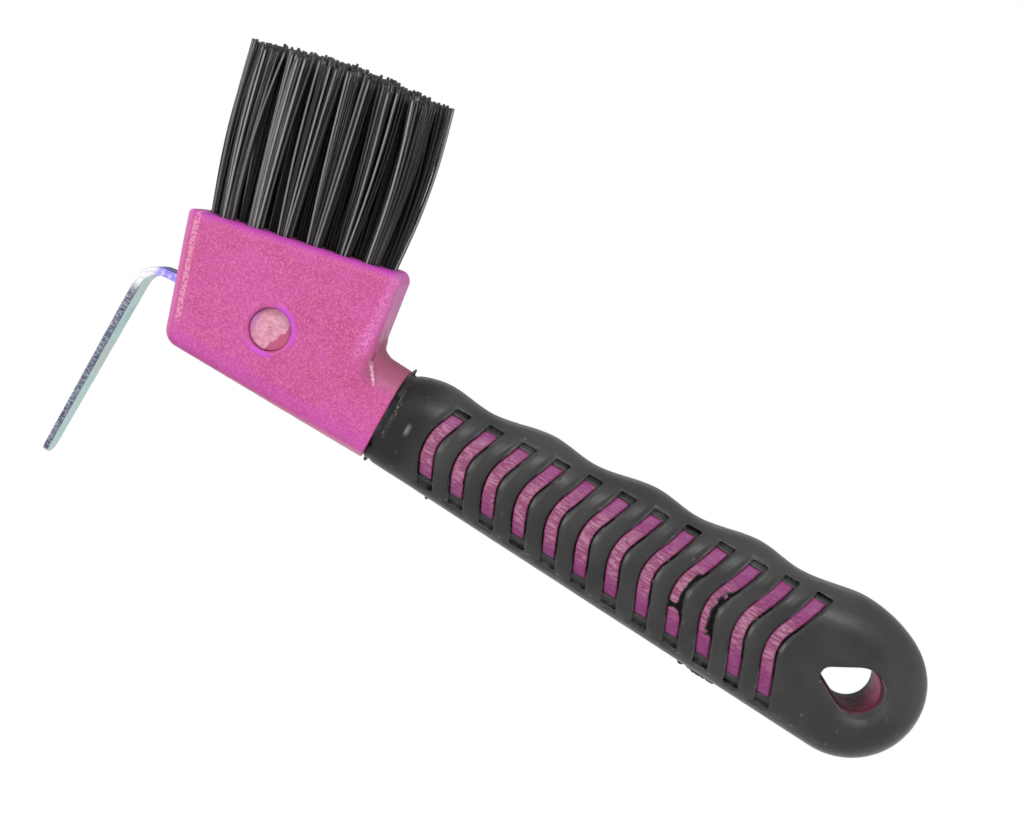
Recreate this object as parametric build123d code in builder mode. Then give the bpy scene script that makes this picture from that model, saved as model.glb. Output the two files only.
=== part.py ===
from build123d import *

import math
import os

os.makedirs("parts", exist_ok=True)

# Hoof pick with a brush. Frame: X runs along the handle towards the hanging end, Z points the way
# the bristles point and Y goes across the thickness. The origin is the centre of the hanging eye.

# Handle: the rubber grip's outer form
grip_half_thickness = 9.5
grip_edge_round = 8.6
grip_front_x = -108.9
end_radius = 15.56
end_centre = (-0.66, -0.34)
end_join_angle = 62.0
crown_radius = 28.0
underside_slope = 3.4
bump_count = 5
bump_pitch = 23.75
first_crest_z = 12.15
crest_line_bow = 0.3
valley_after_crest = 9.0
valley_drop = 1.43
front_top_z = 10.5
front_tangent = (1, 0.45)
tangent_weights = (1.0, 0.8)

# Lip ring where the rubber starts on the neck
lip_front_x = -110.6
lip_inset = 0.3
lip_corner_round = 8.0
lip_overlap = 1.0

# Skin over the moulded core, and the chevron windows in it
skin_thickness = 2.6
groove_depth = 0.95
chevron_count = 12
chevron_pitch = 7.215
first_chevron_x = -102.0
chevron_width = 3.6
first_chevron_z = 1.25
chevron_fall = 0.08
chevron_angle = 23.0
chevron_outer_round = 11.0
chevron_inner_round = 7.0
groove_below_crests = 2.6
groove_above_underside = 2.2
pad_short_top = 1.5
pad_short_bottom = 2.2
pad_side_gap = 0.3

# Hanging eye: a teardrop through the thickness. The rubber lines both ends of it, a little set back
eye_radius = 4.85
eye_tip_radius = 1.6
eye_tip_x = -6.8
eye_set_back = 0.45
eye_lining = 0.9
eye_core_half_length = 5.0
eye_rim_round = 0.9

# Head
head_half_thickness = 9.5
head_edge_round = 2.2
face_front = (-164.65, 18.47)
face_angle = 11.9
face_length = 44.9
head_rear_lean = 7.6
head_front_bottom = (-156.85, -7.48)
neck_top_z = 10.6
neck_top_fall = 0.4
neck_bottom_z = -8.5
neck_fillet = 4.0
face_front_fillet = 0.8
face_rear_fillet = 2.2
bottom_front_fillet = 3.7
neck_round = 6.0
neck_back_x = -126.0
neck_rise_z = 18.0
fold_line = [(-118.9, 15.5), (-117.9, 9.6), (-114.9, 5.6), (-113.8, 4.2)]

# Hook: a steel strip bent down in front of the head, its inner end rolled round a cross pin
strip_thickness = 1.7
strip_half_width = 3.2
hook_tip_half_thickness = 0.62
hook_tip_half_width = 2.4
hook_corner = (-168.05, 3.5)
hook_tip = (-169.35, -41.7)
hook_outer_bend = 5.4
hook_inner_bend = 3.9
hook_tip_round = 2.0
pin_centre = (-138.8, 5.1)
pin_radius = 4.35
pin_recess = 1.6
pin_edge_chamfer = 0.3
gate_mark_radius = 0.6
gate_mark_depth = 0.4
fit_gap = 0.02

# Brush: tufts folded over flat anchors in drilled holes, in three staggered rows
tuft_rows = {"left": (-4.9, 6, 0.5), "middle": (0.0, 7, 0.0), "right": (4.9, 6, 0.5)}
tuft_pitch = 6.12
first_tuft_along = 4.05
tuft_root_radius = 1.85
tuft_tip_radius = 2.75
tuft_free_length = 35.6
tuft_tip_chamfer = 0.6
tuft_lean = 12.4
tuft_lean_change = 0.9
tuft_splay = 1.2
tuft_hole_depth = 8.9
bore_overrun = 3.0
anchor_top_depth = 6.5
anchor_height = 1.8
anchor_length = 4.6
anchor_thickness = 0.4

reach = 40.0


def round_point(centre, radius, angle):
    """Point on a circle in the XZ plane, at an angle from +X."""
    a = math.radians(angle)
    return (centre[0] + radius * math.cos(a), centre[1] + radius * math.sin(a))


# The last finger bump is an arc that runs tangent into the round end
crown_centre = round_point(end_centre, end_radius - crown_radius, end_join_angle)
last_crest_x = crown_centre[0]
last_crest_z = crown_centre[1] + crown_radius
first_crest_x = last_crest_x - (bump_count - 1) * bump_pitch


def crest_z(x):
    """Height of the line along the tops of the finger bumps."""
    share = (x - first_crest_x) / (last_crest_x - first_crest_x)
    bow = 4 * crest_line_bow * max(share, 0) * (1 - share)
    return first_crest_z + (last_crest_z - first_crest_z) * share + bow


def underside_z(x):
    """Height of the straight underside, which is tangent to the round end."""
    tangent_x, tangent_z = round_point(end_centre, end_radius, -90 - underside_slope)
    return tangent_z - (x - tangent_x) * math.tan(math.radians(underside_slope))


def handle_body(inset, front_x):
    """The grip's form, taken in by inset all round and cut square at front_x."""
    half_thickness = grip_half_thickness - inset
    bumps = []
    for i in range(bump_count):
        x = first_crest_x + i * bump_pitch
        bumps.append((x, crest_z(x) - inset))
        if i < bump_count - 1:
            valley_x = x + valley_after_crest
            bumps.append((valley_x, crest_z(valley_x) - valley_drop - inset))
    top_front = (front_x, front_top_z - inset)
    underside_end = round_point(end_centre, end_radius - inset, -90 - underside_slope)
    far_end = round_point(end_centre, end_radius - inset, 0)
    join = round_point(end_centre, end_radius - inset, end_join_angle)
    crown_middle = round_point(crown_centre, crown_radius - inset, (90 + end_join_angle) / 2)
    drop = (underside_end[0] - front_x) * math.tan(math.radians(underside_slope))
    underside_start = (front_x, underside_end[1] + drop)
    with BuildPart() as body:
        with BuildSketch(Plane.XZ.offset(-half_thickness)):
            with BuildLine():
                Line(underside_start, underside_end)
                ThreePointArc(underside_end, far_end, join)
                ThreePointArc(join, crown_middle, bumps[-1])
                Spline(
                    top_front, *bumps, tangents=[front_tangent, (1, 0)], tangent_scalars=tangent_weights
                )
                Line(top_front, underside_start)
            make_face()
        extrude(amount=2 * half_thickness)
        sides = body.faces().filter_by(Axis.Y)
        rims = [e for e in sides.edges() if e.center().X > front_x + 0.01]
        fillet(rims, radius=grip_edge_round - inset)
    return body.part


def chevron_bars(short_top, short_bottom, side_gap):
    """Twelve V bars across the thickness, pointing at the head, cut short at the ends and sides."""
    width = chevron_width - 2 * side_gap
    lean = math.tan(math.radians(chevron_angle))
    with BuildPart() as bars:
        for i in range(chevron_count):
            x = first_chevron_x + i * chevron_pitch + side_gap
            z = first_chevron_z - i * chevron_fall
            top = crest_z(x) - groove_below_crests - short_top
            bottom = underside_z(x) + groove_above_underside + short_bottom
            top_x = x + (top - z) * lean
            bottom_x = x + (z - bottom) * lean
            with BuildSketch(Plane.XZ):
                with BuildLine() as edge:
                    outer = FilletPolyline(
                        (top_x, top), (x, z), (bottom_x, bottom), radius=chevron_outer_round
                    )
                    inner = FilletPolyline(
                        (top_x + width, top),
                        (x + width, z),
                        (bottom_x + width, bottom),
                        radius=chevron_inner_round,
                    )
                    Line(outer @ 0, inner @ 0)
                    Line(outer @ 1, inner @ 1)
                make_face()
            extrude(amount=reach, both=True)
    return bars.part


def eye_bar(extra):
    """The teardrop of the hanging eye grown by extra, as a bar across the thickness."""
    with BuildPart() as bar:
        with BuildSketch(Plane.XZ):
            Circle(eye_radius + extra)
            with Locations((eye_tip_x, 0)):
                Circle(eye_tip_radius + extra)
            make_hull()
        extrude(amount=reach, both=True)
    return bar.part


def face_point(along):
    """Point on the bristle face, at a distance from its front edge."""
    a = math.radians(face_angle)
    return (face_front[0] + along * math.cos(a), face_front[1] + along * math.sin(a))


def tuft_planes():
    """Name and plane of every tuft: the plane sits at the hole's mouth and faces along the tuft."""
    planes = {}
    span = tuft_pitch * (tuft_rows["middle"][1] - 1)
    for row, (y, count, shift) in tuft_rows.items():
        for i in range(count):
            step = (i + shift) * tuft_pitch
            x, z = face_point(first_tuft_along + step)
            lean = math.radians(tuft_lean_change * step / span - tuft_lean)
            splay = math.radians(tuft_splay * y / tuft_rows["right"][0])
            axis = (math.sin(lean), math.sin(splay), math.cos(lean))
            across = (math.cos(lean), 0, -math.sin(lean))
            planes[f"{row}_{i + 1}"] = Plane(origin=(x, y, z), x_dir=across, z_dir=axis)
    return planes


def hook_slab(gap, half_width):
    """The hook's side outline, grown by gap and given its thickness across the head."""
    dx = hook_tip[0] - hook_corner[0]
    dz = hook_tip[1] - hook_corner[1]
    half = strip_thickness / 2
    tip_half = hook_tip_half_thickness
    slope = (pin_centre[1] - hook_corner[1]) / (pin_centre[0] - hook_corner[0])
    rise = half * math.hypot(1, slope)
    lean = dx / dz
    root_x = pin_centre[0] - pin_radius - half
    root_z = hook_corner[1] + (root_x - hook_corner[0]) * slope
    outer_corner = (hook_corner[0] - half + lean * half, hook_corner[1] + rise - half * slope)
    inner_corner = (hook_corner[0] + half - lean * half, hook_corner[1] - rise + half * slope)
    outer_tip = (hook_tip[0] - tip_half, hook_tip[1])
    inner_tip = (hook_tip[0] + tip_half, hook_tip[1])
    outer_root = (root_x, root_z + rise)
    inner_root = (root_x, root_z - rise)
    with BuildPart() as slab:
        with BuildSketch(Plane.XZ.offset(-half_width)):
            with BuildLine():
                FilletPolyline(outer_root, outer_corner, outer_tip, radius=hook_outer_bend)
                FilletPolyline(inner_root, inner_corner, inner_tip, radius=hook_inner_bend)
                Line(outer_root, inner_root)
                Line(outer_tip, inner_tip)
            make_face()
            with Locations(pin_centre):
                Circle(pin_radius + strip_thickness)
            if gap:
                offset(amount=gap)
            with Locations(pin_centre):
                Circle(pin_radius + fit_gap - gap, mode=Mode.SUBTRACT)
        extrude(amount=2 * half_width)
    return slab.part


# Grip overmould, worked out from three nested forms: outer skin, groove floor and core
outer_form = handle_body(0.0, grip_front_x)
floor_form = handle_body(groove_depth, lip_front_x)
core_form = handle_body(skin_thickness, lip_front_x)
groove_bars = chevron_bars(0.0, 0.0, 0.0)
pad_bars = chevron_bars(pad_short_top, pad_short_bottom, pad_side_gap)
eye_cut = eye_bar(0.0)
rubber_eye_cut = eye_bar(eye_set_back)
planes = tuft_planes()

with BuildPart() as core_body:
    add(core_form)
    add(eye_bar(eye_set_back + eye_lining), mode=Mode.SUBTRACT)

with BuildPart() as eye_ring:
    add(core_form)
    Box(reach, 2 * eye_core_half_length, reach, mode=Mode.INTERSECT)

with BuildPart() as chevron_pads:
    add(pad_bars)
    add(floor_form, mode=Mode.INTERSECT)

with BuildPart() as groove_cut:
    add(groove_bars)
    add(floor_form, mode=Mode.SUBTRACT)

# Head block and neck, with the side edges rounded
with BuildPart() as head_block:
    face_rear = face_point(face_length)
    rear_run = (face_rear[1] - neck_top_z) * math.tan(math.radians(head_rear_lean))
    neck_corner = (face_rear[0] + rear_run, neck_top_z)
    with BuildSketch(Plane.XZ):
        with BuildLine():
            Polyline(
                face_front,
                face_rear,
                neck_corner,
                (lip_front_x, neck_top_z - neck_top_fall),
                (lip_front_x, neck_bottom_z),
                head_front_bottom,
                close=True,
            )
        make_face()
    extrude(amount=head_half_thickness, both=True)
    for corner, radius in (
        (neck_corner, neck_fillet),
        (face_front, face_front_fillet),
        (face_rear, face_rear_fillet),
        (head_front_bottom, bottom_front_fillet),
    ):
        at_corner = Vector(corner[0], 0, corner[1])
        edge = head_block.edges().filter_by(Axis.Y).sort_by(lambda e: (e.center() - at_corner).length)[0]
        fillet(edge, radius=radius)
    side_faces = head_block.faces().filter_by(Axis.Y)
    rims = [e for e in side_faces.edges() if e.center().X < lip_front_x - 0.01]
    fillet(rims, radius=head_edge_round)

# The neck's upper edges are rounder than the head's, and the two rounds meet along a fold line
with BuildPart() as neck_form:
    rise_x = neck_corner[0] - (neck_rise_z - neck_top_z) * math.tan(math.radians(head_rear_lean))
    with BuildSketch(Plane.XZ):
        with BuildLine():
            Polyline(
                (neck_back_x, neck_rise_z),
                (rise_x, neck_rise_z),
                neck_corner,
                (lip_front_x, neck_top_z - neck_top_fall),
                (lip_front_x, neck_bottom_z),
                (neck_back_x, neck_bottom_z),
                close=True,
            )
        make_face()
    extrude(amount=head_half_thickness, both=True)
    at_corner = Vector(neck_corner[0], 0, neck_corner[1])
    edge = neck_form.edges().filter_by(Axis.Y).sort_by(lambda e: (e.center() - at_corner).length)[0]
    fillet(edge, radius=neck_fillet)
    side_edges = neck_form.faces().filter_by(Axis.Y).edges()
    upper_edges = [e for e in side_edges if e.center().X > rise_x - 0.5 and e.center().Z > neck_top_z - 1]
    fillet(upper_edges, radius=neck_round)

with BuildPart() as neck_relief:
    with BuildSketch(Plane.XZ):
        low_z = fold_line[-1][1]
        high_z = fold_line[0][1]
        Polygon(*fold_line, (lip_front_x, low_z), (lip_front_x, high_z), align=None)
    extrude(amount=reach, both=True)
    add(neck_form.part, mode=Mode.SUBTRACT)

# Holes for the tufts, each with a slot that the anchor's ends bite into
with BuildPart() as tuft_bores:
    for plane in planes.values():
        with BuildSketch(plane.offset(-tuft_hole_depth)):
            Circle(tuft_root_radius)
        extrude(amount=tuft_hole_depth + bore_overrun)
        with BuildSketch(plane.offset(-anchor_top_depth - anchor_height)):
            Rectangle(anchor_thickness, anchor_length)
        extrude(amount=anchor_height)

# Core moulding: head, neck and the core inside the grip, in one shot of plastic
with BuildPart() as head_core:
    add(head_block.part)
    add(neck_relief.part, mode=Mode.SUBTRACT)
    add(core_body.part)
    add(eye_ring.part)
    add(chevron_pads.part)
    add(eye_cut, mode=Mode.SUBTRACT)
    add(hook_slab(fit_gap, strip_half_width + fit_gap), mode=Mode.SUBTRACT)
    with BuildSketch(Plane.XZ.offset(-reach)):
        with Locations(pin_centre):
            Circle(pin_radius + fit_gap)
    extrude(amount=2 * reach, mode=Mode.SUBTRACT)
    add(tuft_bores.part, mode=Mode.SUBTRACT)
head_core.part.label = "head_core"
export_step(head_core.part, "parts/head_core.step")

# Grip: soft rubber moulded over the core, with a narrower ring at the neck
with BuildPart() as grip:
    add(outer_form)
    lip_top = front_top_z - lip_inset
    lip_bottom = underside_z(grip_front_x) + lip_inset
    with BuildSketch(Plane.YZ.offset(lip_front_x)):
        with Locations((0, (lip_top + lip_bottom) / 2)):
            RectangleRounded(
                2 * (grip_half_thickness - lip_inset), lip_top - lip_bottom, lip_corner_round
            )
    extrude(amount=grip_front_x - lip_front_x + lip_overlap)
    add(rubber_eye_cut, mode=Mode.SUBTRACT)
    eye_rims = [
        e
        for e in grip.faces().filter_by(Axis.Y).edges()
        if abs(e.center().X) < end_radius and abs(e.center().Z) <= eye_radius + eye_set_back
    ]
    fillet(eye_rims, radius=eye_rim_round)
    add(groove_cut.part, mode=Mode.SUBTRACT)
    add(core_body.part, mode=Mode.SUBTRACT)
    add(eye_ring.part, mode=Mode.SUBTRACT)
    add(chevron_pads.part, mode=Mode.SUBTRACT)
grip.part.label = "grip"
export_step(grip.part, "parts/grip.step")

# Hook: strip with a rolled eye; it narrows towards the tip and its corners are rounded
with BuildPart() as hook:
    add(hook_slab(0, strip_half_width))
    with BuildSketch(Plane.YZ.offset(hook_tip[0] - strip_thickness)):
        with BuildLine():
            FilletPolyline(
                (strip_half_width, hook_corner[1] - hook_outer_bend),
                (hook_tip_half_width, hook_tip[1]),
                (-hook_tip_half_width, hook_tip[1]),
                (-strip_half_width, hook_corner[1] - hook_outer_bend),
                radius=hook_tip_round,
            )
            Polyline(
                (strip_half_width, hook_corner[1] - hook_outer_bend),
                (strip_half_width, reach),
                (-strip_half_width, reach),
                (-strip_half_width, hook_corner[1] - hook_outer_bend),
            )
        make_face()
    extrude(amount=reach, mode=Mode.INTERSECT)
hook.part.label = "hook"
export_step(hook.part, "parts/hook.step")

# Cross pin through the head and the hook's eye, with a moulding mark in each end
with BuildPart() as hook_pin:
    pin_half_length = head_half_thickness - pin_recess
    with BuildSketch(Plane.XZ):
        with Locations(pin_centre):
            Circle(pin_radius)
    extrude(amount=pin_half_length, both=True)
    chamfer(hook_pin.edges().filter_by(GeomType.CIRCLE), length=pin_edge_chamfer)
    for side in (-1, 1):
        with BuildSketch(Plane.XZ.offset(side * pin_half_length)):
            with Locations(pin_centre):
                Circle(gate_mark_radius)
        extrude(amount=-side * gate_mark_depth, mode=Mode.SUBTRACT)
hook_pin.part.label = "hook_pin"
export_step(hook_pin.part, "parts/hook_pin.step")

# Tufts and their anchors: each tuft is doubled over a flat anchor at the bottom of its hole
for name, plane in planes.items():
    with BuildPart() as tuft:
        with BuildSketch(plane.offset(-tuft_hole_depth)):
            Circle(tuft_root_radius)
        extrude(amount=tuft_hole_depth)
        with BuildSketch(plane):
            Circle(tuft_root_radius)
        with BuildSketch(plane.offset(tuft_free_length)):
            Circle(tuft_tip_radius)
        loft()
        tip = tuft.edges().sort_by(Axis(plane.origin, plane.z_dir))[-1]
        chamfer(tip, length=tuft_tip_chamfer)
        with BuildSketch(plane.offset(-anchor_top_depth - anchor_height)):
            Rectangle(anchor_thickness, anchor_length)
        extrude(amount=anchor_height, mode=Mode.SUBTRACT)
    tuft.part.label = f"tuft_{name}"
    export_step(tuft.part, f"parts/tuft_{name}.step")

    with BuildPart() as anchor:
        with BuildSketch(plane.offset(-anchor_top_depth - anchor_height)):
            Rectangle(anchor_thickness, anchor_length)
        extrude(amount=anchor_height)
    anchor.part.label = f"anchor_{name}"
    export_step(anchor.part, f"parts/anchor_{name}.step")
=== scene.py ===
import math
import random

import bmesh
import bpy
import numpy as np
from mathutils import Matrix, Vector


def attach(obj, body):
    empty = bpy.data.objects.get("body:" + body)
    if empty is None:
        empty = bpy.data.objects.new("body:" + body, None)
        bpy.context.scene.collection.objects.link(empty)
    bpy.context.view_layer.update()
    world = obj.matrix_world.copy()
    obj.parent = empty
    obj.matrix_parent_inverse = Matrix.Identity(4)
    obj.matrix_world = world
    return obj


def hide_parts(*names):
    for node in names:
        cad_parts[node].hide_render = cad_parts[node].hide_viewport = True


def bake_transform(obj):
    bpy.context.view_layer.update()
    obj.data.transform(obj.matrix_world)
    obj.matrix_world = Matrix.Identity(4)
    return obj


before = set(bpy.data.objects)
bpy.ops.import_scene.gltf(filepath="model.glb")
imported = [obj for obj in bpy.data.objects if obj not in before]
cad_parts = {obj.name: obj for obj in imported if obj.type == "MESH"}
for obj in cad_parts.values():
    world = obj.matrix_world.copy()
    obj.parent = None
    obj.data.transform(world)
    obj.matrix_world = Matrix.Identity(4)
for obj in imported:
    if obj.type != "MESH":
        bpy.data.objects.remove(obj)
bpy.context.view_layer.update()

# Sizes are in millimetres, as in the CAD, and are turned into metres where Blender needs them
MM = 0.001

# Places on the CAD parts
face_front = (-164.65, 18.47)
face_angle = 11.9
face_length = 44.9
head_front_bottom = (-156.85, -7.48)
hook_tip_z = -41.7
pin_centre = (-138.8, 5.1)
pin_radius = 4.35
grip_front_x = -108.9
fold_centre = (-116.5, 7.6)
fold_turn = math.radians(52.5)
lip_top_z = 10.2
lip_bottom_z = -9.2
grip_half_thickness = 9.5
grip_edge_round = 8.6
first_crest = (-101.5, 12.15)
last_crest = (-6.5, 16.68)
crest_line_bow = 0.3
groove_depth = 0.95
underside_slope = 3.4
end_radius = 15.56
end_centre = (-0.66, -0.34)
chevron_count = 12
chevron_pitch = 7.215
first_chevron_x = -102.0
chevron_width = 3.6
first_chevron_z = 1.25
chevron_fall = 0.08
chevron_angle = 23.0
chevron_rounding = 0.8
pad_side_gap = 0.3
groove_below_crests = 2.6
groove_above_underside = 2.2
eye_radius = 5.3
eye_tip_radius = 2.05
eye_tip_x = -6.8
groove_round_width = 1.3
groove_round_depth = 0.5
eye_round_width = 2.6
eye_round_depth = 0.9

# Tufts: rows give the offset across the thickness, the count and the stagger
tuft_rows = {"left": (-4.9, 6, 0.5), "middle": (0.0, 7, 0.0), "right": (4.9, 6, 0.5)}
tuft_pitch = 6.12
first_tuft_along = 4.05
tuft_lean = 12.4
tuft_lean_change = 0.9
tuft_splay = 1.2
tuft_free_length = 35.6

# Filaments of one tuft
filament_count = 28
filament_radius = 0.3
filament_sides = 7
filament_rings = 14
filament_hold = 6.2
root_spread = 1.5
tip_spread = 3.0
front_bulge = 0.7
rear_bulge = 1.1
side_bulge = 0.4
middle_length = 36.7
front_short = 0.9
rear_short = 2.1
side_short = 0.034


# ---------------------------------------------------------------- mesh helpers


def lattice_noise(points, pitch, seed):
    """Smooth noise between -1 and 1 at points in mm, with features about pitch mm across."""
    scaled = np.asarray(points, float) / np.asarray(pitch, float)
    cell = np.floor(scaled).astype(np.int64)
    part = scaled - cell
    part = part * part * (3 - 2 * part)
    total = np.zeros(len(scaled))
    for corner in range(8):
        step = np.array([corner & 1, (corner >> 1) & 1, corner >> 2])
        at = cell + step
        mixed = (at[:, 0] * 73856093) ^ (at[:, 1] * 19349663) ^ (at[:, 2] * 83492791)
        mixed = (mixed + seed * 2654435761) & 0xFFFFFFFF
        mixed = ((mixed ^ (mixed >> 15)) * 2246822519) & 0xFFFFFFFF
        mixed = ((mixed ^ (mixed >> 13)) * 3266489917) & 0xFFFFFFFF
        value = ((mixed >> 8) & 0xFFFF) / 32767.5 - 1
        weight = np.where(step == 1, part, 1 - part).prod(axis=1)
        total += weight * value
    return total


def add_object(name, mesh):
    piece = bpy.data.objects.new(name, mesh)
    bpy.context.scene.collection.objects.link(piece)
    return piece


def remoulded(node, name, voxel, smoothing, lumps=()):
    """Copy of a CAD node with its edges softened: lumps joined on, remeshed, then smoothed."""
    form = bmesh.new()
    form.from_mesh(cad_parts[node].data)
    form.transform(Matrix.Scale(1 / MM, 4))
    bmesh.ops.remove_doubles(form, verts=form.verts, dist=0.002)
    for place, size, turn in lumps:
        matrix = Matrix.Translation(place) @ turn @ Matrix.Diagonal((*size, 1))
        bmesh.ops.create_icosphere(form, subdivisions=2, radius=1, matrix=matrix)
    mesh = bpy.data.meshes.new(name)
    form.to_mesh(mesh)
    form.free()
    piece = add_object(name, mesh)
    remesh = piece.modifiers.new("remesh", "REMESH")
    remesh.mode = "VOXEL"
    remesh.voxel_size = voxel
    remesh.use_smooth_shade = True
    smooth = piece.modifiers.new("smooth", "SMOOTH")
    smooth.factor = 0.5
    smooth.iterations = smoothing
    graph = bpy.context.evaluated_depsgraph_get()
    final = bpy.data.meshes.new_from_object(piece.evaluated_get(graph))
    piece.modifiers.clear()
    piece.data = final
    bpy.data.meshes.remove(mesh)
    final.name = name
    return piece


def read_points(mesh):
    """Vertex places and normals of a mesh as two arrays."""
    places = np.empty(len(mesh.vertices) * 3, np.float32)
    mesh.vertices.foreach_get("co", places)
    normals = np.empty(len(mesh.vertices) * 3, np.float32)
    mesh.vertex_normals.foreach_get("vector", normals)
    return places.reshape(-1, 3).astype(float), normals.reshape(-1, 3).astype(float)


def press(piece, height):
    """Moves the surface along its normals by height(places, normals) in mm, then goes to metres."""
    mesh = piece.data
    places, normals = read_points(mesh)
    places = places + normals * height(places, normals)[:, None]
    mesh.vertices.foreach_set("co", (places * MM).astype(np.float32).ravel())
    mesh.polygons.foreach_set("use_smooth", [True] * len(mesh.polygons))
    mesh.update()


def bell(value, centre, width):
    return np.exp(-(((value - centre) / width) ** 2))


def step_up(value, low, high):
    share = np.clip((value - low) / (high - low), 0, 1)
    return share * share * (3 - 2 * share)


# ---------------------------------------------------------------- material helpers


class Finish:
    """One procedural material on a Principled surface, with places taken in the row frame."""

    def __init__(self, name):
        self.material = bpy.data.materials.new(name)
        self.material.use_nodes = True
        self.tree = self.material.node_tree
        self.tree.nodes.clear()
        output = self.add("ShaderNodeOutputMaterial")
        self.surface = self.add("ShaderNodeBsdfPrincipled")
        self.tree.links.new(self.surface.outputs[0], output.inputs[0])
        self.place = self.add("ShaderNodeTexCoord").outputs["Object"]

    def add(self, kind):
        return self.tree.nodes.new(kind)

    def feed(self, socket, value):
        if isinstance(value, bpy.types.NodeSocket):
            self.tree.links.new(value, socket)
        elif isinstance(value, tuple) and len(value) == 3 and socket.type == "RGBA":
            socket.default_value = (*value, 1)
        else:
            socket.default_value = value

    def set(self, **values):
        for name, value in values.items():
            self.feed(self.surface.inputs[name.replace("_", " ")], value)

    def noise(self, pitch, detail=2.0, stretch=(1, 1, 1)):
        """Noise with features about pitch mm across, drawn out along each axis by stretch."""
        mapping = self.add("ShaderNodeMapping")
        mapping.inputs["Scale"].default_value = [1 / (MM * pitch * s) for s in stretch]
        self.feed(mapping.inputs["Vector"], self.place)
        texture = self.add("ShaderNodeTexNoise")
        texture.inputs["Scale"].default_value = 1.0
        texture.inputs["Detail"].default_value = detail
        self.feed(texture.inputs["Vector"], mapping.outputs[0])
        return texture.outputs["Fac"]

    def cells(self, pitch):
        """Distance to scattered points about pitch mm apart, and each point's random colour."""
        texture = self.add("ShaderNodeTexVoronoi")
        texture.inputs["Scale"].default_value = 1 / (MM * pitch)
        self.feed(texture.inputs["Vector"], self.place)
        return texture.outputs["Distance"], texture.outputs["Color"]

    def scale(self, value, low, high, to_low=0.0, to_high=1.0):
        node = self.add("ShaderNodeMapRange")
        node.interpolation_type = "SMOOTHSTEP"
        for name, setting in (
            ("From Min", low),
            ("From Max", high),
            ("To Min", to_low),
            ("To Max", to_high),
            ("Value", value),
        ):
            self.feed(node.inputs[name], setting)
        return node.outputs[0]

    def maths(self, operation, a, b=0.0):
        node = self.add("ShaderNodeMath")
        node.operation = operation
        self.feed(node.inputs[0], a)
        self.feed(node.inputs[1], b)
        return node.outputs[0]

    def times(self, a, b):
        return self.maths("MULTIPLY", a, b)

    def off(self, value, centre):
        """How far a value lies from a centre, either way."""
        return self.maths("ABSOLUTE", self.maths("SUBTRACT", value, centre))

    def mix(self, share, a, b):
        node = self.add("ShaderNodeMix")
        node.data_type = "RGBA"
        self.feed(node.inputs[0], share)
        self.feed(node.inputs[6], a)
        self.feed(node.inputs[7], b)
        return node.outputs[2]

    def along(self, direction):
        """Distance in mm along a direction in the row frame."""
        node = self.add("ShaderNodeVectorMath")
        node.operation = "DOT_PRODUCT"
        self.feed(node.inputs[0], self.place)
        node.inputs[1].default_value = [c / MM for c in direction]
        return node.outputs["Value"]

    def normal_parts(self):
        """The surface normal's part along each axis."""
        split = self.add("ShaderNodeSeparateXYZ")
        self.feed(split.inputs[0], self.add("ShaderNodeNewGeometry").outputs["Normal"])
        return split.outputs

    def facing(self, blend):
        node = self.add("ShaderNodeLayerWeight")
        node.inputs["Blend"].default_value = blend
        return node.outputs["Facing"]

    def crevice(self, reach):
        """How open a place is, from 0 deep in a corner to 1 in the open, looking reach mm around."""
        node = self.add("ShaderNodeAmbientOcclusion")
        node.samples = 6
        node.inputs["Distance"].default_value = reach * MM
        return node.outputs["AO"]

    def ridge(self):
        """Above one half on edges that stick out, below it in corners."""
        return self.add("ShaderNodeNewGeometry").outputs["Pointiness"]

    def attribute(self, name):
        node = self.add("ShaderNodeAttribute")
        node.attribute_name = name
        return node.outputs["Fac"]

    def bump(self, *layers):
        """Stacked bumps, each a height and how deep it is in mm."""
        normal = None
        for height, depth in layers:
            node = self.add("ShaderNodeBump")
            node.inputs["Distance"].default_value = depth * MM
            self.feed(node.inputs["Height"], height)
            if normal is not None:
                self.feed(node.inputs["Normal"], normal)
            normal = node.outputs[0]
        self.feed(self.surface.inputs["Normal"], normal)

    def on(self, *pieces):
        for piece in pieces:
            piece.data.materials.clear()
            piece.data.materials.append(self.material)


# ---------------------------------------------------------------- grip


def underside_z(x):
    angle = math.radians(-90 - underside_slope)
    tangent_x = end_centre[0] + end_radius * math.cos(angle)
    tangent_z = end_centre[1] + end_radius * math.sin(angle)
    return tangent_z - (x - tangent_x) * math.tan(math.radians(underside_slope))


def chevron_edge(i, z, share):
    """Place along the handle of a window's pad at height z, from its front edge (0) to its rear (1)."""
    centre_z = first_chevron_z - i * chevron_fall
    lean = math.tan(math.radians(chevron_angle))
    bend = np.hypot(z - centre_z, 2 * chevron_rounding / lean) * lean - chevron_rounding
    inside = pad_side_gap + share * (chevron_width - 2 * pad_side_gap)
    return first_chevron_x + i * chevron_pitch + bend + inside


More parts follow.
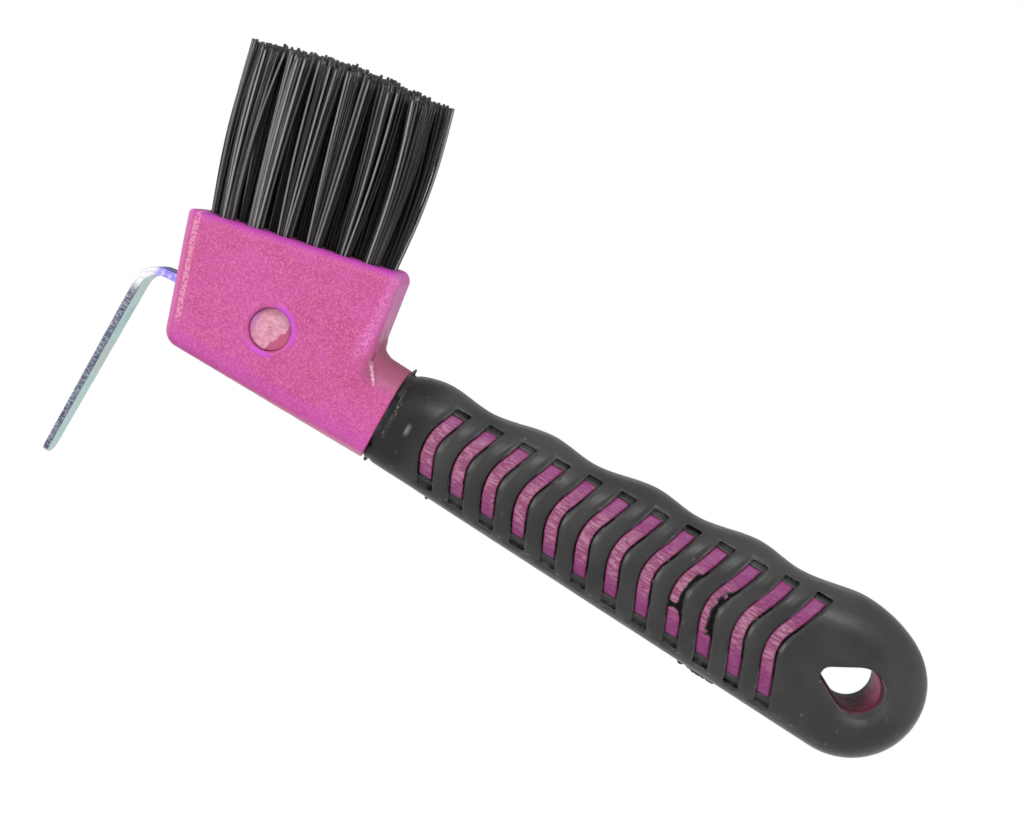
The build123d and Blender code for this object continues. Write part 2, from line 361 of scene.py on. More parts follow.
def flash_lumps():
    """Ragged rubber that crept over the chevron windows, and flash on the mould's parting line."""
    draw = random.Random(7)
    raggedness = (0.05, 0.25, 0.3, 0.2, 0.2, 0.25, 0.3, 0.45, 0.8, 0.9, 0.6, 0.25)
    upright = Matrix.Identity(4)
    lumps = []
    for side in (-1, 1):
        face = side * (grip_half_thickness - groove_depth)
        for i in range(chevron_count):
            for rear in (0, 1):
                for _ in range(40):
                    z = draw.uniform(-5.0, 6.0)
                    chance = raggedness[i] * (0.75 if rear else 0.45)
                    size = draw.uniform(0.2, 0.3 + 0.25 * raggedness[i])
                    flat = draw.uniform(0.2, 0.3)
                    spin = Matrix.Rotation(draw.uniform(-0.5, 0.5), 4, "Y")
                    if draw.random() < chance:
                        x = chevron_edge(i, z, rear)
                        lumps.append(((x, face, z), (size, flat, size * 0.6), spin))
        # Two windows have a thick ragged lap along their rear edge, and one is bridged
        for i, top, bottom, least in ((8, 5.0, -2.0, 0.74), (9, 5.0, -4.9, 0.55)):
            for k in range(56):
                z = bottom + (top - bottom) * k / 55 + draw.uniform(-0.1, 0.1)
                size = draw.uniform(0.28, 0.6)
                x = chevron_edge(i, z, draw.uniform(least, 1.02))
                lumps.append(((x, face, z), (size, 0.34, draw.uniform(0.16, 0.34)), upright))
        for k in range(34):
            share = k / 33
            z = -3.0 + draw.uniform(-1.0, 1.0) * (0.35 + abs(share - 0.5))
            size = draw.uniform(0.3, 0.48)
            lumps.append(((chevron_edge(8, z, share), face, z), (size, 0.32, size), upright))
    for x, z, high in ((-110.0, lip_top_z + 0.3, 1.3), (-110.1, lip_bottom_z - 0.2, 1.1)):
        lumps.append(((x, 0, z), (0.42, 0.6, high), Matrix.Rotation(0.15, 4, "Y")))
    for x in (-95.2, -32.6, -30.6, -29.4, -28.2, -27.0, -25.8, -24.9):
        size = (draw.uniform(0.4, 1.0), 0.34, draw.uniform(0.32, 0.6))
        lumps.append(((x, draw.uniform(-0.2, 0.2), underside_z(x) - 0.3), size, upright))
    return lumps


def outer_half_thickness(places):
    """How far out the grip's plain outer form lies at each place, as if it had no openings."""
    x, _, z = places.T
    station = np.round((x - x.min()) * 2).astype(int)
    high = np.full(station.max() + 1, -np.inf)
    low = np.full(station.max() + 1, np.inf)
    np.maximum.at(high, station, z)
    np.minimum.at(low, station, z)
    to_edge = np.minimum(high[station] - z, z - low[station])
    to_end = end_radius - np.hypot(x - end_centre[0], z - end_centre[1])
    to_edge = np.where(x > end_centre[0], np.minimum(to_edge, to_end), to_edge)
    short = np.clip(grip_edge_round - to_edge, 0, grip_edge_round)
    return grip_half_thickness - grip_edge_round + np.sqrt(grip_edge_round**2 - short**2)


def groove_distance(x, z):
    """Distance to the nearest chevron groove seen from the side, 0 inside one."""
    nearest = np.full(len(x), 99.0)
    for i in range(chevron_count):
        start = first_chevron_x + i * chevron_pitch
        share = max((start - first_crest[0]) / (last_crest[0] - first_crest[0]), 0)
        crest = first_crest[1] + (last_crest[1] - first_crest[1]) * share
        crest += 4 * crest_line_bow * share * (1 - share)
        front = chevron_edge(i, z, 0) - pad_side_gap
        across = np.maximum(front - x, x - front - chevron_width) * math.cos(math.radians(chevron_angle))
        above = z - crest + groove_below_crests
        below = underside_z(start) + groove_above_underside - z
        away = np.hypot(np.maximum(across, 0), np.maximum(np.maximum(above, below), 0))
        nearest = np.minimum(nearest, away)
    return nearest


def eye_distance(x, z):
    """Distance to the teardrop of the hanging eye seen from the side."""
    length = -eye_tip_x
    narrowing = (eye_radius - eye_tip_radius) / length
    upright = math.sqrt(1 - narrowing * narrowing)
    off = np.abs(z)
    along = -x * upright - off * narrowing
    round_part = np.hypot(x, z) - eye_radius
    tip_part = np.hypot(off, x - eye_tip_x) - eye_tip_radius
    flank = off * upright - x * narrowing - eye_radius
    return np.where(along < 0, round_part, np.where(along > length * upright, tip_part, flank))


def fall_away(distance, width, depth):
    return depth * np.clip(1 - distance / width, 0, 1) ** 2


def soften_openings(piece):
    """Rounds the rubber down towards the grooves and the eye, and notes how deep each place lies."""
    mesh = piece.data
    places, _ = read_points(mesh)
    x, y, z = places.T
    depth = outer_half_thickness(places) - np.abs(y)
    fall = fall_away(groove_distance(x, z), groove_round_width, groove_round_depth)
    at_eye = fall_away(np.maximum(eye_distance(x, z), 0), eye_round_width, eye_round_depth)
    fall = np.maximum(fall, at_eye)
    sink = np.clip(fall - np.maximum(depth, 0), 0, None)
    places[:, 1] -= np.sign(y) * sink
    mesh.vertices.foreach_set("co", places.astype(np.float32).ravel())
    sunk = (depth + sink).astype(np.float32)
    mesh.attributes.new("sunk", "FLOAT", "POINT").data.foreach_set("value", sunk)
    mesh.update()


def grip_surface(places, normals):
    x, y, z = places.T
    height = 0.05 * lattice_noise(places, 9, 11) + 0.012 * lattice_noise(places, 1.3, 12)
    outside = 1 - step_up(np.abs(normals[:, 1]), 0.25, 0.5)
    height += 0.07 * bell(y, 0, 0.35) * outside
    lip = bell(x, grip_front_x - 0.2, 0.45) * (0.7 + 0.5 * lattice_noise(places, 1.1, 13))
    return height - 0.16 * lip


grip = remoulded("grip", "grip_rubber", 0.25, 4, flash_lumps())
soften_openings(grip)
press(grip, grip_surface)
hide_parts("grip")


# ---------------------------------------------------------------- head and core


def head_surface(places, normals):
    x, y, z = places.T
    height = 0.06 * lattice_noise(places, 12, 21) + 0.02 * lattice_noise(places, 1.1, 22)
    flat = step_up(np.abs(normals[:, 1]), 0.8, 0.95)
    radius = np.hypot(x - pin_centre[0], z - pin_centre[1])
    height += 0.16 * bell(radius, pin_radius + 0.75, 0.5) * flat
    run_x = head_front_bottom[0] - face_front[0]
    run_z = head_front_bottom[1] - face_front[1]
    length = math.hypot(run_x, run_z)
    inward = ((x - face_front[0]) * -run_z + (z - face_front[1]) * run_x) / length
    down = ((x - face_front[0]) * run_x + (z - face_front[1]) * run_z) / length
    dots = lattice_noise(places, 0.55, 23)
    line = bell(inward, 2.3, 0.45) * step_up(down, 0.5, 2) * (1 - step_up(down, 21, 25))
    height += 0.09 * line * (0.6 + dots) * step_up(np.abs(normals[:, 1]), 0.6, 0.9)
    # A fold in the moulding where the neck runs out of the head
    fold = np.hypot(x - fold_centre[0], z - fold_centre[1])
    off_fold = (x - fold_centre[0]) * math.sin(fold_turn) + (z - fold_centre[1]) * math.cos(fold_turn)
    at_side = step_up(np.abs(y), 4, 6) * step_up(np.abs(normals[:, 1]), 0.3, 0.6)
    height += 0.16 * bell(off_fold, 0, 0.35) * (1 - step_up(fold, 1.8, 2.9)) * at_side
    return height


head = remoulded("head_core", "head_plastic", 0.28, 3)
press(head, head_surface)
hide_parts("head_core")


# ---------------------------------------------------------------- hook and pin


def hook_surface(places, normals):
    sheared = step_up(np.abs(normals[:, 1]), 0.6, 0.9)
    tear_and_shadow = lattice_noise(places, (0.9, 0.5, 0.35), 31)
    return 0.01 * lattice_noise(places, 2.5, 32) + 0.035 * tear_and_shadow * sheared


hook = remoulded("hook", "hook_strip", 0.16, 4)
press(hook, hook_surface)
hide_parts("hook")


def pin_surface(places, normals):
    ends = step_up(np.abs(normals[:, 1]), 0.7, 0.95)
    rough = 0.05 * lattice_noise(places, 1.8, 41) + 0.015 * lattice_noise(places, 0.6, 42)
    x = places[:, 0] - pin_centre[0]
    z = places[:, 2] - pin_centre[1]
    radius = np.hypot(x, z)
    filled = 0.36 * (1 - step_up(radius, 0.5, 0.75))
    stroke = bell(z - 0.9 + 0.6 * x, 0, 0.22) * (1 - step_up(np.abs(x), 0.5, 0.9))
    hooked = bell(x - 0.75 - 0.3 * z, 0, 0.22) * (1 - step_up(np.abs(z + 0.3), 0.6, 1.0))
    rim = 0.12 * bell(radius, pin_radius - 0.15, 0.2) * step_up(np.abs(normals[:, 1]), 0.35, 0.6)
    return (rough + filled - 0.25 * np.maximum(stroke, hooked)) * ends + rim


pin = remoulded("hook_pin", "cross_pin", 0.14, 3)
press(pin, pin_surface)
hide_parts("hook_pin")


# ---------------------------------------------------------------- brush


def tuft_places():
    """Name, column, mouth, axis and share along the brush (-1 front to 1 rear) of every tuft."""
    found = []
    span = tuft_pitch * (tuft_rows["middle"][1] - 1)
    angle = math.radians(face_angle)
    for row, (y, count, shift) in tuft_rows.items():
        for i in range(count):
            step = (i + shift) * tuft_pitch
            run = first_tuft_along + step
            mouth = Vector(
                (face_front[0] + run * math.cos(angle), y, face_front[1] + run * math.sin(angle))
            )
            lean = math.radians(tuft_lean_change * step / span - tuft_lean)
            splay = math.radians(tuft_splay * y / tuft_rows["right"][0])
            axis = Vector((math.sin(lean), math.sin(splay), math.cos(lean))).normalized()
            column = int(2 * (i + shift)) + 1
            found.append((f"{row}_{i + 1}", column, mouth, axis, 2 * step / span - 1))
    return found


def tuft_mesh(name, mouth, axis, share, side, draw):
    """A clump of nylon filaments: thin, slightly bent rods from inside the hole to their cut tips."""
    forward = Vector((axis.z, 0, -axis.x)).normalized()
    across = forward.cross(axis).normalized() * -1
    golden = math.pi * (3 - math.sqrt(5))
    turn = draw.uniform(0, 2 * math.pi)
    length = middle_length - (rear_short * share**1.2 if share > 0 else front_short * share * share)
    bulge = (rear_bulge if share > 0 else front_bulge) * share
    points, faces, strand_tone_and_light, rise_at = [], [], [], []
    for i in range(filament_count):
        ring = math.sqrt((i + 0.5) / filament_count)
        angle = i * golden + turn
        out = Vector((ring * math.cos(angle), ring * math.sin(angle)))
        wander = Vector((draw.uniform(-0.5, 0.5), draw.uniform(-0.5, 0.5)))
        bow = Vector((draw.uniform(-0.35, 0.35), draw.uniform(-0.35, 0.35)))
        sideways = mouth.y + out.y * tip_spread
        tip = length - side_short * sideways * sideways
        tip += draw.gauss(0, 0.2) - max(0.0, draw.gauss(-1.2, 0.9))
        # lit paints light on the filaments on a clump's outer side and lane paints alternate stripes of
        # highlight; the random share varies from filament to filament
        outward = out.y * side if side else out.x * share - 0.5
        lane = math.floor((out.x * tip_spread + turn) / (2.2 * filament_radius)) % 2
        lit = 0.4 + 0.6 * float(step_up(outward - 0.25 * out.x, -0.6, 0.3))
        tone_and_light = (0.2 * lane + 0.8 * draw.random()) * lit
        radius = filament_radius * draw.uniform(0.9, 1.08)
        first = len(points)
        for k in range(filament_rings + 1):
            s = -filament_hold + (tip + filament_hold) * k / filament_rings
            rise = max(s, 0) / tuft_free_length
            spread = root_spread + (tip_spread - root_spread) * rise
            swell = math.sin(math.pi * min(rise, 1))
            shift_f = out.x * spread + wander.x * rise + (bow.x + bulge) * swell
            shift_a = out.y * spread + wander.y * rise + (bow.y + side_bulge * side) * swell
            centre = mouth + axis * s + forward * shift_f + across * shift_a
            for j in range(filament_sides):
                a = 2 * math.pi * j / filament_sides
                rim = forward * math.cos(a) + across * math.sin(a)
                points.append((centre + rim * radius) * MM)
                strand_tone_and_light.append(tone_and_light)
                rise_at.append(s / tip)
        for k in range(filament_rings):
            for j in range(filament_sides):
                a = first + k * filament_sides + j
                b = first + k * filament_sides + (j + 1) % filament_sides
                faces.append((a, b, b + filament_sides, a + filament_sides))
        last = first + filament_rings * filament_sides
        faces.append(tuple(first + j for j in reversed(range(filament_sides))))
        faces.append(tuple(last + j for j in range(filament_sides)))
    mesh = bpy.data.meshes.new(name)
    mesh.from_pydata(points, [], faces)
    caps = [len(face) == filament_sides for face in faces]
    mesh.polygons.foreach_set("use_smooth", [not cap for cap in caps])
    for key, values in (("strand_tone_and_light", strand_tone_and_light), ("rise", rise_at)):
        mesh.attributes.new(key, "FLOAT", "POINT").data.foreach_set("value", values)
    mesh.update()
    return mesh


draw = random.Random(19)
tufts = []
for name, column, mouth, axis, share in tuft_places():
    side = mouth.y / tuft_rows["right"][0]
    piece = add_object(f"bristles_{name}", tuft_mesh(name, mouth, axis, share, side, draw))
    tufts.append((piece, f"tuft_{name}", column, mouth, axis))


# ---------------------------------------------------------------- materials


def head_finish():
    finish = Finish("moulded_magenta_plastic")
    violet = (0.50, 0.05, 0.46)
    pin_rim_reflection_violet = (0.56, 0.075, 0.62)
    neck_top_shade_colour = (0.28, 0.072, 0.115)
    floor_reflection_pale = (0.70, 0.36, 0.42)
    rear_face_light_colour = (0.64, 0.12, 0.40)
    front_edge_highlight = (0.80, 0.24, 0.56)
    front_line_highlight = (0.84, 0.45, 0.50)
    fold_highlight_colour = (0.88, 0.55, 0.66)
    rear_edge_pale_speckle = (0.80, 0.24, 0.60)
    scuffed = (0.50, 0.24, 0.34)
    eye_tip_shade = (0.012, 0.003, 0.005)
    ring_end_shade = (0.012, 0.003, 0.006)
    corner_shade_colour = (0.26, 0.03, 0.12)
    angle = math.radians(face_angle)
    face_normal = (-math.sin(angle), 0, math.cos(angle))
    face_height = face_normal[0] * face_front[0] + face_normal[2] * face_front[1]
    below_face = finish.maths("SUBTRACT", face_height, finish.along(face_normal))
    x = finish.along((1, 0, 0))
    z = finish.along((0, 0, 1))
    speckle = finish.noise(0.36, 4)
    cloud = finish.noise(7, 2)
    streak = finish.noise(0.75, 2, (9, 1, 1))
    body = finish.mix(finish.scale(cloud, 0.35, 0.65), (0.50, 0.070, 0.235), (0.53, 0.084, 0.30))
    body = finish.mix(finish.scale(speckle, 0.45, 0.7, 0, 0.7), body, (0.68, 0.18, 0.38))
    body = finish.mix(finish.scale(speckle, 0.52, 0.32, 0, 0.55), body, (0.42, 0.045, 0.20))
    body = finish.mix(finish.scale(streak, 0.45, 0.65, 0, 0.4), body, (0.58, 0.09, 0.36))
    # Painted violet shade and reflection: along the top edge under the bristles, low down, and on faces
    # seen at a grazing angle
    band = finish.scale(below_face, 0.2, 1.7, 1, 0)
    low = finish.times(finish.scale(z, -2.5, -5.5), finish.scale(z, -7.6, -6.4))
    edge = finish.scale(finish.facing(0.35), 0.25, 0.85)
    edge = finish.times(edge, finish.scale(x, -121.5, -124, 0.1, 0.75))
    violet_edge_reflection_share = finish.maths("MAXIMUM", finish.maths("MAXIMUM", band, edge), finish.times(low, 0.45))
    body = finish.mix(finish.times(violet_edge_reflection_share, 0.7), body, violet)
    # A painted violet reflection round the pin: an arc above and behind it, and one below it
    from_pin_x = finish.maths("SUBTRACT", x, pin_centre[0])
    from_pin_z = finish.maths("SUBTRACT", z, pin_centre[1])
    square_x = finish.maths("POWER", from_pin_x, 2.0)
    square_z = finish.maths("POWER", from_pin_z, 2.0)
    radius = finish.maths("SQRT", finish.maths("ADD", square_x, square_z))
    from_ring = finish.off(radius, pin_radius + 0.6)
    upper_arc = finish.scale(finish.maths("ADD", from_pin_x, from_pin_z), 3.0, 6.0, 0, 0.9)
    lower_arc = finish.scale(from_pin_z, -3.6, -4.8, 0, 0.75)
    lit_arc = finish.maths("MAXIMUM", upper_arc, lower_arc)
    halo = finish.times(finish.scale(from_ring, 0.2, 0.8, 1, 0), lit_arc)
    body = finish.mix(halo, body, pin_rim_reflection_violet)
    # Painted shade darkens the top of the neck
    neck_top_shade = finish.times(finish.scale(x, -120, -117.5), finish.scale(z, 4.0, 8.5, 0, 0.8))
    body = finish.mix(neck_top_shade, body, neck_top_shade_colour)
    # A painted reflection of the floor makes the bottom edge paler
    body = finish.mix(finish.scale(z, -6.9, -8.1, 0, 0.8), body, floor_reflection_pale)
    # Faces that look towards the hanging end are paler with painted light
    normal = finish.normal_parts()
    rear_face_light = finish.scale(normal[0], 0.4, 0.9, 0, 0.8)
    rear_face_light = finish.times(rear_face_light, finish.scale(x, -118.5, -119.5))
    body = finish.mix(rear_face_light, body, rear_face_light_colour)
    # A painted highlight runs down the fold where the neck leaves the head
    turn_x = math.cos(fold_turn)
    turn_z = math.sin(fold_turn)
    across_centre = turn_z * fold_centre[0] + turn_x * fold_centre[1]
    run_centre = turn_x * fold_centre[0] - turn_z * fold_centre[1]
    off_fold = finish.off(finish.along((turn_z, 0, turn_x)), across_centre)
    run_fold = finish.off(finish.along((turn_x, 0, -turn_z)), run_centre)
    ends = finish.scale(run_fold, 1.7, 2.8, 0.85, 0)
    fold = finish.times(finish.scale(off_fold, 0.1, 0.4, 1, 0), ends)
    fold = finish.times(fold, finish.scale(finish.noise(0.45, 2), 0.4, 0.55, 0.25, 1))
    body = finish.mix(fold, body, fold_highlight_colour)
    # A painted highlight lightens the front edge, with a dotted line of painted highlight inside it, and
    # the rear edge is paler in speckles towards the top
    run_x = head_front_bottom[0] - face_front[0]
    run_z = head_front_bottom[1] - face_front[1]
    length = math.hypot(run_x, run_z)
    inward = (-run_z / length, 0, run_x / length)
    front_place = inward[0] * face_front[0] + inward[2] * face_front[1]
    from_front = finish.maths("SUBTRACT", finish.along(inward), front_place)
    body = finish.mix(finish.scale(from_front, 0.3, 1.7, 0.65, 0), body, front_edge_highlight)
    line = finish.scale(finish.off(from_front, 2.4), 0.35, 0.75, 1, 0)
    line = finish.times(line, finish.scale(z, -3.5, -1.0))
    dots = finish.scale(finish.noise(0.5, 1), 0.42, 0.52)
    body = finish.mix(finish.times(finish.times(line, dots), 0.5), body, front_line_highlight)
    rear_x = face_front[0] + face_length * math.cos(angle)
    off_rear = finish.off(x, rear_x - 0.2)
    rear_edge_speckle = finish.times(finish.scale(off_rear, 0.5, 1.8, 1, 0), finish.scale(z, 7.5, 12))
    rear_edge_speckle = finish.times(rear_edge_speckle, finish.scale(speckle, 0.42, 0.62, 0.15, 0.7))
    body = finish.mix(rear_edge_speckle, body, rear_edge_pale_speckle)
    # Inside the chevron windows the plastic is darker, and scuffed along the handle near the points
    in_grip = finish.scale(x, -108.5, -107)
    from_point = finish.off(z, first_chevron_z - 0.4)
    scuff = finish.noise(0.3, 2, (6, 1, 1))
    window = finish.mix(finish.scale(from_point, 1.5, 8), (0.26, 0.062, 0.145), (0.22, 0.026, 0.15))
    worn = finish.scale(from_point, 2.5, 7.5, 0.7, 0.12)
    worn = finish.times(finish.scale(scuff, 0.45, 0.6), worn)
    window = finish.mix(worn, window, scuffed)
    # Inside the eye, painted shade darkens it towards the tip and low down, and on the ring's own side
    # faces
    eye_shade = finish.mix(finish.scale(z, -4.5, 1.5), (0.11, 0.014, 0.026), (0.56, 0.06, 0.20))
    eye_shade = finish.mix(finish.scale(x, -1.5, 0.5), eye_tip_shade, eye_shade)
    across = finish.maths("ABSOLUTE", normal[1])
    eye_shade = finish.mix(finish.scale(across, 0.4, 0.8, 0, 0.9), eye_shade, ring_end_shade)
    window = finish.mix(finish.scale(x, -11, -9), window, eye_shade)
    colour = finish.mix(in_grip, body, window)
    # Painted shade darkens the plastic in corners and crevices
    open_air = finish.scale(finish.crevice(1.2), 0.35, 0.9)
    colour = finish.mix(open_air, corner_shade_colour, colour)
    rough = finish.scale(finish.noise(1.4, 3), 0.3, 0.7, 0.36, 0.52)
    finish.set(Base_Color=colour, Roughness=rough, Specular_IOR_Level=0.36)
    ridges = finish.times(scuff, in_grip)
    finish.bump(
        (finish.noise(0.45, 3), 0.05), (finish.noise(1.7, 2), 0.05), (streak, 0.03), (ridges, 0.10)
    )
    return finish


def rubber_finish():
    finish = Finish("dark_grip_rubber")
    x = finish.along((1, 0, 0))
    z = finish.along((0, 0, 1))
    sunk = finish.attribute("sunk")
    fine = finish.noise(0.35, 3)
    cloud = finish.noise(14, 3)
    base = finish.mix(finish.scale(cloud, 0.3, 0.7), (0.026, 0.0255, 0.026), (0.044, 0.043, 0.0435))
    # The front end, below the lip, is the darkest part
    front = finish.scale(x, -105.5, -99, 1, 0)
    base = finish.mix(front, base, (0.011, 0.0105, 0.011))
    # Scattered dust and short scratches
    distance, chance = finish.cells(2.6)
    split = finish.add("ShaderNodeSeparateColor")
    finish.feed(split.inputs[0], chance)
    near = finish.scale(distance, 0.04, 0.10, 1, 0)
    chosen = finish.maths("GREATER_THAN", split.outputs[0], 0.8)
    dust = finish.times(near, chosen)
    scratch = finish.scale(finish.noise(0.5, 1, (1, 1, 6)), 0.72, 0.8)
    marks = finish.maths("MAXIMUM", dust, finish.times(scratch, 0.25))
    openness = finish.crevice(1.6)
    # Painted shade blackens the rubber in corners and crevices
    base = finish.mix(finish.scale(openness, 0.25, 0.9), (0.001, 0.001, 0.001), base)
    # Rubber that crept over the windows lies in the shade
    crept = finish.scale(finish.off(z, 0.3), 5.6, 6.6, 0.9, 0)
    crept = finish.times(finish.scale(sunk, 0.4, 0.65), crept)
    crept = finish.times(crept, finish.scale(x, -14, -11, 1, 0))
    base = finish.mix(crept, base, (0.004, 0.004, 0.004))
    # A painted highlight lightens the edges that stick out
    convex_edge_highlight = finish.scale(finish.ridge(), 0.512, 0.56, 0, 0.8)
    convex_edge_highlight = finish.times(convex_edge_highlight, finish.scale(cloud, 0.35, 0.6, 0.3, 1))
    base = finish.mix(convex_edge_highlight, base, (0.11, 0.11, 0.11))
    # A painted highlight lightens the point of each rib behind a window
    past_first = finish.maths("SUBTRACT", x, first_chevron_x + chevron_width)
    windows = finish.maths("DIVIDE", past_first, chevron_pitch)
    behind = finish.times(finish.maths("FRACT", windows), chevron_pitch)
    point_z = finish.maths("SUBTRACT", first_chevron_z, finish.times(windows, chevron_fall))
    rib_point_highlight = finish.times(finish.scale(behind, 0.1, 0.45), finish.scale(behind, 0.55, 1.5, 1, 0))
    rib_point_highlight = finish.times(rib_point_highlight, finish.scale(finish.off(z, point_z), 0.3, 1.7, 0.85, 0))
    rib_point_highlight = finish.times(rib_point_highlight, finish.scale(x, -17.5, -16.5, 1, 0))
    rib_point_highlight = finish.times(rib_point_highlight, finish.scale(sunk, 0.35, 0.6, 1, 0))
    base = finish.mix(rib_point_highlight, base, (0.19, 0.19, 0.19))
    # Pale scrapes run down behind the lip
    scraped = finish.scale(finish.off(x, grip_front_x + 0.15), 0.15, 0.55, 1, 0)
    scraped = finish.times(scraped, finish.scale(finish.noise(0.7, 3), 0.5, 0.6))
    scraped = finish.times(scraped, finish.scale(finish.off(z, 1.5), 2.5, 4.5, 0.5, 0))
    base = finish.mix(scraped, base, (0.26, 0.26, 0.25))
    colour = finish.mix(finish.times(marks, 0.5), base, (0.30, 0.30, 0.29))
    rough = finish.scale(finish.noise(4, 4), 0.25, 0.75, 0.34, 0.48)
    glossy = finish.scale(openness, 0.3, 0.9, 0.12, 1)
    glossy = finish.times(glossy, finish.maths("SUBTRACT", 1.0, crept))
    finish.set(Base_Color=colour, Roughness=rough, Specular_IOR_Level=finish.times(glossy, 0.32))
    finish.set(Sheen_Weight=finish.times(glossy, 0.55), Sheen_Roughness=0.3)
    finish.set(Sheen_Tint=(0.95, 0.95, 0.95))
    finish.bump((fine, 0.016), (finish.noise(2.2, 3), 0.03))
    return finish


def steel_finish():
    finish = Finish("zinc_plated_strip")
    sheared = finish.scale(finish.maths("ABSOLUTE", finish.normal_parts()[1]), 0.55, 0.85)
    tint = finish.noise(5.5, 2, (1, 1, 1.6))
    warm = finish.mix(finish.scale(tint, 0.35, 0.5), (0.44, 0.70, 0.72), (0.60, 0.90, 0.87))
    wide = finish.mix(finish.scale(tint, 0.54, 0.68), warm, (0.70, 0.75, 0.64))
    lines = finish.noise(0.35, 2, (1, 1, 14))
    wide = finish.mix(finish.scale(lines, 0.4, 0.65, 0, 0.4), wide, (0.84, 0.92, 0.92))
    tear_and_shadow = finish.noise(0.22, 3, (4, 1, 1))
    cut = finish.mix(finish.scale(tear_and_shadow, 0.36, 0.66), (0.09, 0.095, 0.15), (0.36, 0.38, 0.46))
    # Round the bend, a painted highlight makes the cut edge bright
    cut = finish.mix(finish.scale(finish.along((0, 0, 1)), -3.5, 0.0, 0, 0.85), cut, (0.95, 0.97, 0.96))
    colour = finish.mix(sheared, wide, cut)
    # Next to the head, a painted violet reflection lies on the strip
    violet_reflection_share = finish.scale(finish.along((1, 0, 0)), -166.8, -164.6, 0, 0.85)
    patchy = finish.scale(finish.noise(0.8, 2), 0.35, 0.55, 0.4, 1)
    colour = finish.mix(finish.times(violet_reflection_share, patchy), colour, (0.24, 0.16, 0.95))
    rough = finish.mix(sheared, (0.27, 0.27, 0.27), (0.45, 0.45, 0.45))
    finish.set(Base_Color=colour, Roughness=rough, Metallic=1.0)
    finish.bump((tear_and_shadow, 0.03), (lines, 0.008))
    return finish


def pin_finish():
    finish = Finish("pale_pin_plastic")
    rubbed = finish.noise(0.9, 4)
    crumbs = finish.noise(0.3, 2)
    base = finish.mix(finish.scale(rubbed, 0.35, 0.65), (0.62, 0.24, 0.35), (0.72, 0.37, 0.46))
    base = finish.mix(finish.scale(crumbs, 0.55, 0.7, 0, 0.3), base, (0.80, 0.52, 0.58))
    # A painted shadow darkens the pin's end along the side towards the handle
    wobble = finish.times(finish.noise(2.2, 2), 3.0)
    slant = finish.along((1, 0, -0.45))
    off_centre = pin_centre[0] - 0.45 * pin_centre[1]
    tear_and_shadow = finish.scale(finish.maths("ADD", slant, wobble), off_centre + 3.6, off_centre + 4.0)
    base = finish.mix(tear_and_shadow, base, (0.50, 0.10, 0.20))
    near_head = finish.scale(finish.along((1, 0, 0)), pin_centre[0] - 3.4, pin_centre[0] - 2.6, 0.7, 0)
    base = finish.mix(near_head, base, (0.62, 0.22, 0.55))
    finish.set(Base_Color=base, Roughness=0.5, Specular_IOR_Level=0.45)
    finish.bump((rubbed, 0.07), (crumbs, 0.03))
    return finish


def nylon_finish():
    finish = Finish("black_nylon_filament")
    tone_and_light = finish.attribute("strand_tone_and_light")
    rise = finish.attribute("rise")
    grime = finish.noise(1.2, 2, (1, 1, 5))
    # Painted highlight down the middle of each filament and painted shade at its sides
    light = finish.scale(finish.facing(0.5), 0.15, 0.55, 1, 0)
    light = finish.times(finish.scale(tone_and_light, 0.45, 0.9, 0.06, 1), light)
    base = finish.mix(light, (0.0035, 0.0035, 0.004), (0.27, 0.262, 0.255))
    base = finish.mix(finish.scale(grime, 0.5, 0.75, 0, 0.2), base, (0.04, 0.036, 0.034))
    cut = finish.scale(rise, 0.985, 1.0)
    base = finish.mix(cut, base, (0.07, 0.065, 0.062))
    chance = finish.maths("FRACT", finish.times(tone_and_light, 7.3))
    rough = finish.scale(chance, 0, 1, 0.28, 0.5)
    finish.set(Base_Color=base, Roughness=rough, Specular_IOR_Level=0.32)
    finish.bump((finish.noise(0.25, 2, (1, 1, 8)), 0.012))
    return finish


def wire_finish():
    finish = Finish("anchor_wire")
    drawn = finish.noise(0.2, 2, (1, 10, 1))
    colour = finish.mix(drawn, (0.55, 0.55, 0.53), (0.72, 0.71, 0.68))
    finish.set(Base_Color=colour, Roughness=0.3, Metallic=1.0)
    finish.bump((drawn, 0.006))
    return finish


head_finish().on(head)
rubber_finish().on(grip)
steel_finish().on(hook)
pin_finish().on(pin)
nylon_finish().on(*[tuft[0] for tuft in tufts])
anchors = [node for name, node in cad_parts.items() if name.startswith("anchor_")]
wire_finish().on(*anchors)


# ---------------------------------------------------------------- bodies

for piece, slot_name in (
    (head, "core_plastic"),
    (grip, "grip_rubber"),
    (hook, "hook_steel"),
    (pin, "pin_plastic"),
):
    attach(piece, "root")

for piece, node, column, mouth, axis in tufts:
    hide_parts(node)
    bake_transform(piece)


# ---------------------------------------------------------------- studio

floor_half_size = 4.0
floor_drop = 60
floor_z = (hook_tip_z - floor_drop) * MM
corners = [
    (x * floor_half_size, y * floor_half_size, floor_z) for x, y in ((-1, -1), (1, -1), (1, 1), (-1, 1))
]
floor_mesh = bpy.data.meshes.new("floor")
floor_mesh.from_pydata(corners, [], [(0, 1, 2, 3)])
floor = add_object("floor", floor_mesh)
floor_finish = Finish("studio_floor")
seen = floor_finish.add("ShaderNodeLightPath").outputs["Is Camera Ray"]
floor_finish.set(Base_Color=floor_finish.mix(seen, (0.8, 0.8, 0.8), (0.0, 0.0, 0.0)), Roughness=0.9)
floor_finish.set(Specular_IOR_Level=0.0)
floor_finish.set(Emission_Color=(1.0, 1.0, 1.0), Emission_Strength=seen)
floor_finish.on(floor)

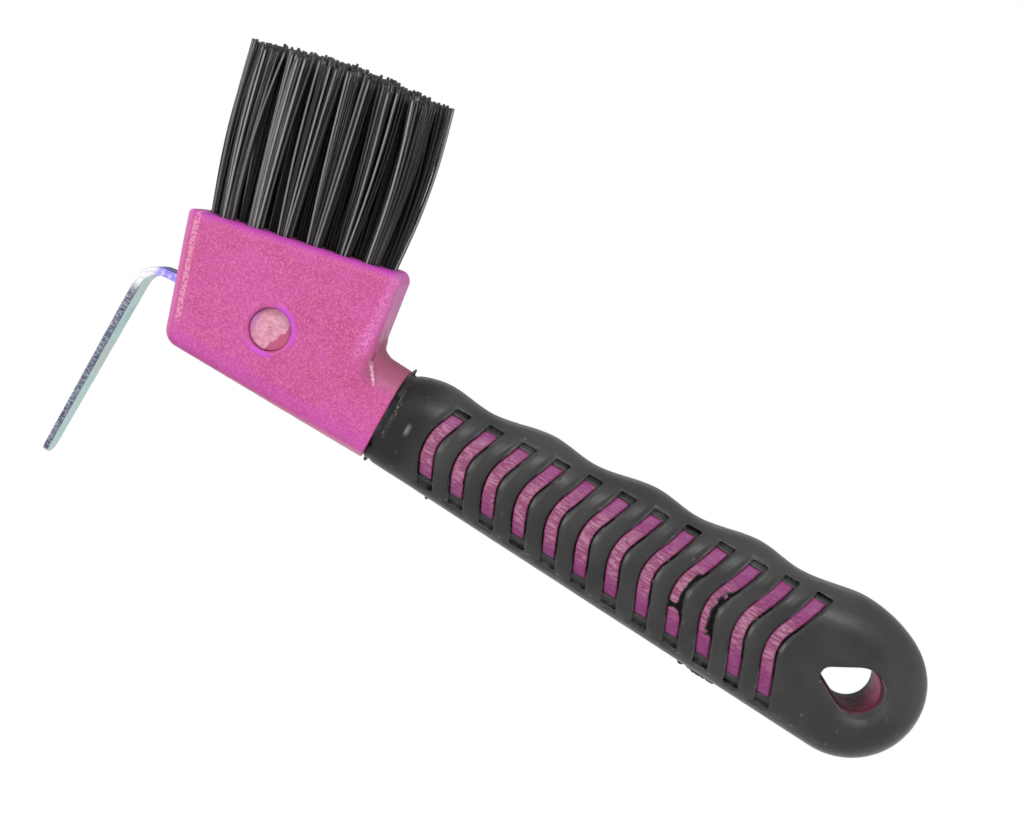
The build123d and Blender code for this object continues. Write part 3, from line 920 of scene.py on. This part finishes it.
world = bpy.data.worlds.new("studio")
bpy.context.scene.world = world
world.use_nodes = True
sky = world.node_tree
sky.nodes.clear()
sky_output = sky.nodes.new("ShaderNodeOutputWorld")
sky_light = sky.nodes.new("ShaderNodeBackground")
sky_seen = sky.nodes.new("ShaderNodeBackground")
sky_pick = sky.nodes.new("ShaderNodeMixShader")
sky_path = sky.nodes.new("ShaderNodeLightPath")
sky_coords = sky.nodes.new("ShaderNodeTexCoord")
sky_split = sky.nodes.new("ShaderNodeSeparateXYZ")
sky_share = sky.nodes.new("ShaderNodeMapRange")
sky_ramp = sky.nodes.new("ShaderNodeValToRGB")
sky_share.inputs["From Min"].default_value = -1.0
sky_share.inputs["From Max"].default_value = 1.0
# Brightness of the surroundings from the camera's side (0) round to the back (1)
stops = sky_ramp.color_ramp.elements
for place, glow in ((0.0, 0.44), (0.45, 0.88), (1.0, 0.20)):
    stop = stops[0] if place == 0.0 else stops[-1] if place == 1.0 else stops.new(place)
    stop.position = place
    stop.color = (glow, glow, glow, 1)
sky_seen.inputs["Color"].default_value = (1, 1, 1, 1)
for source, target in (
    (sky_coords.outputs["Generated"], sky_split.inputs[0]),
    (sky_split.outputs[1], sky_share.inputs["Value"]),
    (sky_share.outputs[0], sky_ramp.inputs[0]),
    (sky_ramp.outputs[0], sky_light.inputs["Color"]),
    (sky_path.outputs["Is Camera Ray"], sky_pick.inputs[0]),
    (sky_light.outputs[0], sky_pick.inputs[1]),
    (sky_seen.outputs[0], sky_pick.inputs[2]),
    (sky_pick.outputs[0], sky_output.inputs[0]),
):
    sky.links.new(source, target)

middle = Vector((-90, 0, 12)) * MM


def soft_light(name, place, size, power):
    lamp = bpy.data.lights.new(name, "AREA")
    lamp.shape = "DISK"
    lamp.size = size
    lamp.energy = power
    light = bpy.data.objects.new(name, lamp)
    bpy.context.scene.collection.objects.link(light)
    light.location = place
    light.rotation_euler = (middle - light.location).to_track_quat("-Z", "Y").to_euler()


soft_light("key", Vector((-0.70, -0.70, -0.14)), 0.30, 4.9)
soft_light("top", Vector((-0.05, -0.66, 0.66)), 0.45, 4.1)
soft_light("panel", Vector((0.10, 0.85, -0.18)), 0.32, 0.4)

# Camera: in front of the side and a little above, rolled so that the handle runs down
camera_place = Vector((-88.78, -302.66, 52.15)) * MM
camera_aim = Vector((-88.78, 0, 14.13)) * MM
camera_roll = math.radians(29.6)
ahead = (camera_aim - camera_place).normalized()
level = Vector((1, 0, 0))
above = level.cross(ahead)
right = level * math.cos(camera_roll) + above * math.sin(camera_roll)
up = above * math.cos(camera_roll) - level * math.sin(camera_roll)
camera_data = bpy.data.cameras.new("camera")
camera_data.lens = 52.3
camera_data.sensor_width = 36
camera_data.clip_start = 0.01
camera_data.clip_end = 20
camera = bpy.data.objects.new("camera", camera_data)
bpy.context.scene.collection.objects.link(camera)
camera.matrix_world = Matrix.Translation(camera_place) @ Matrix((right, up, -ahead)).transposed().to_4x4()
bpy.context.scene.camera = camera
bpy.context.scene.view_settings.view_transform = "Standard"
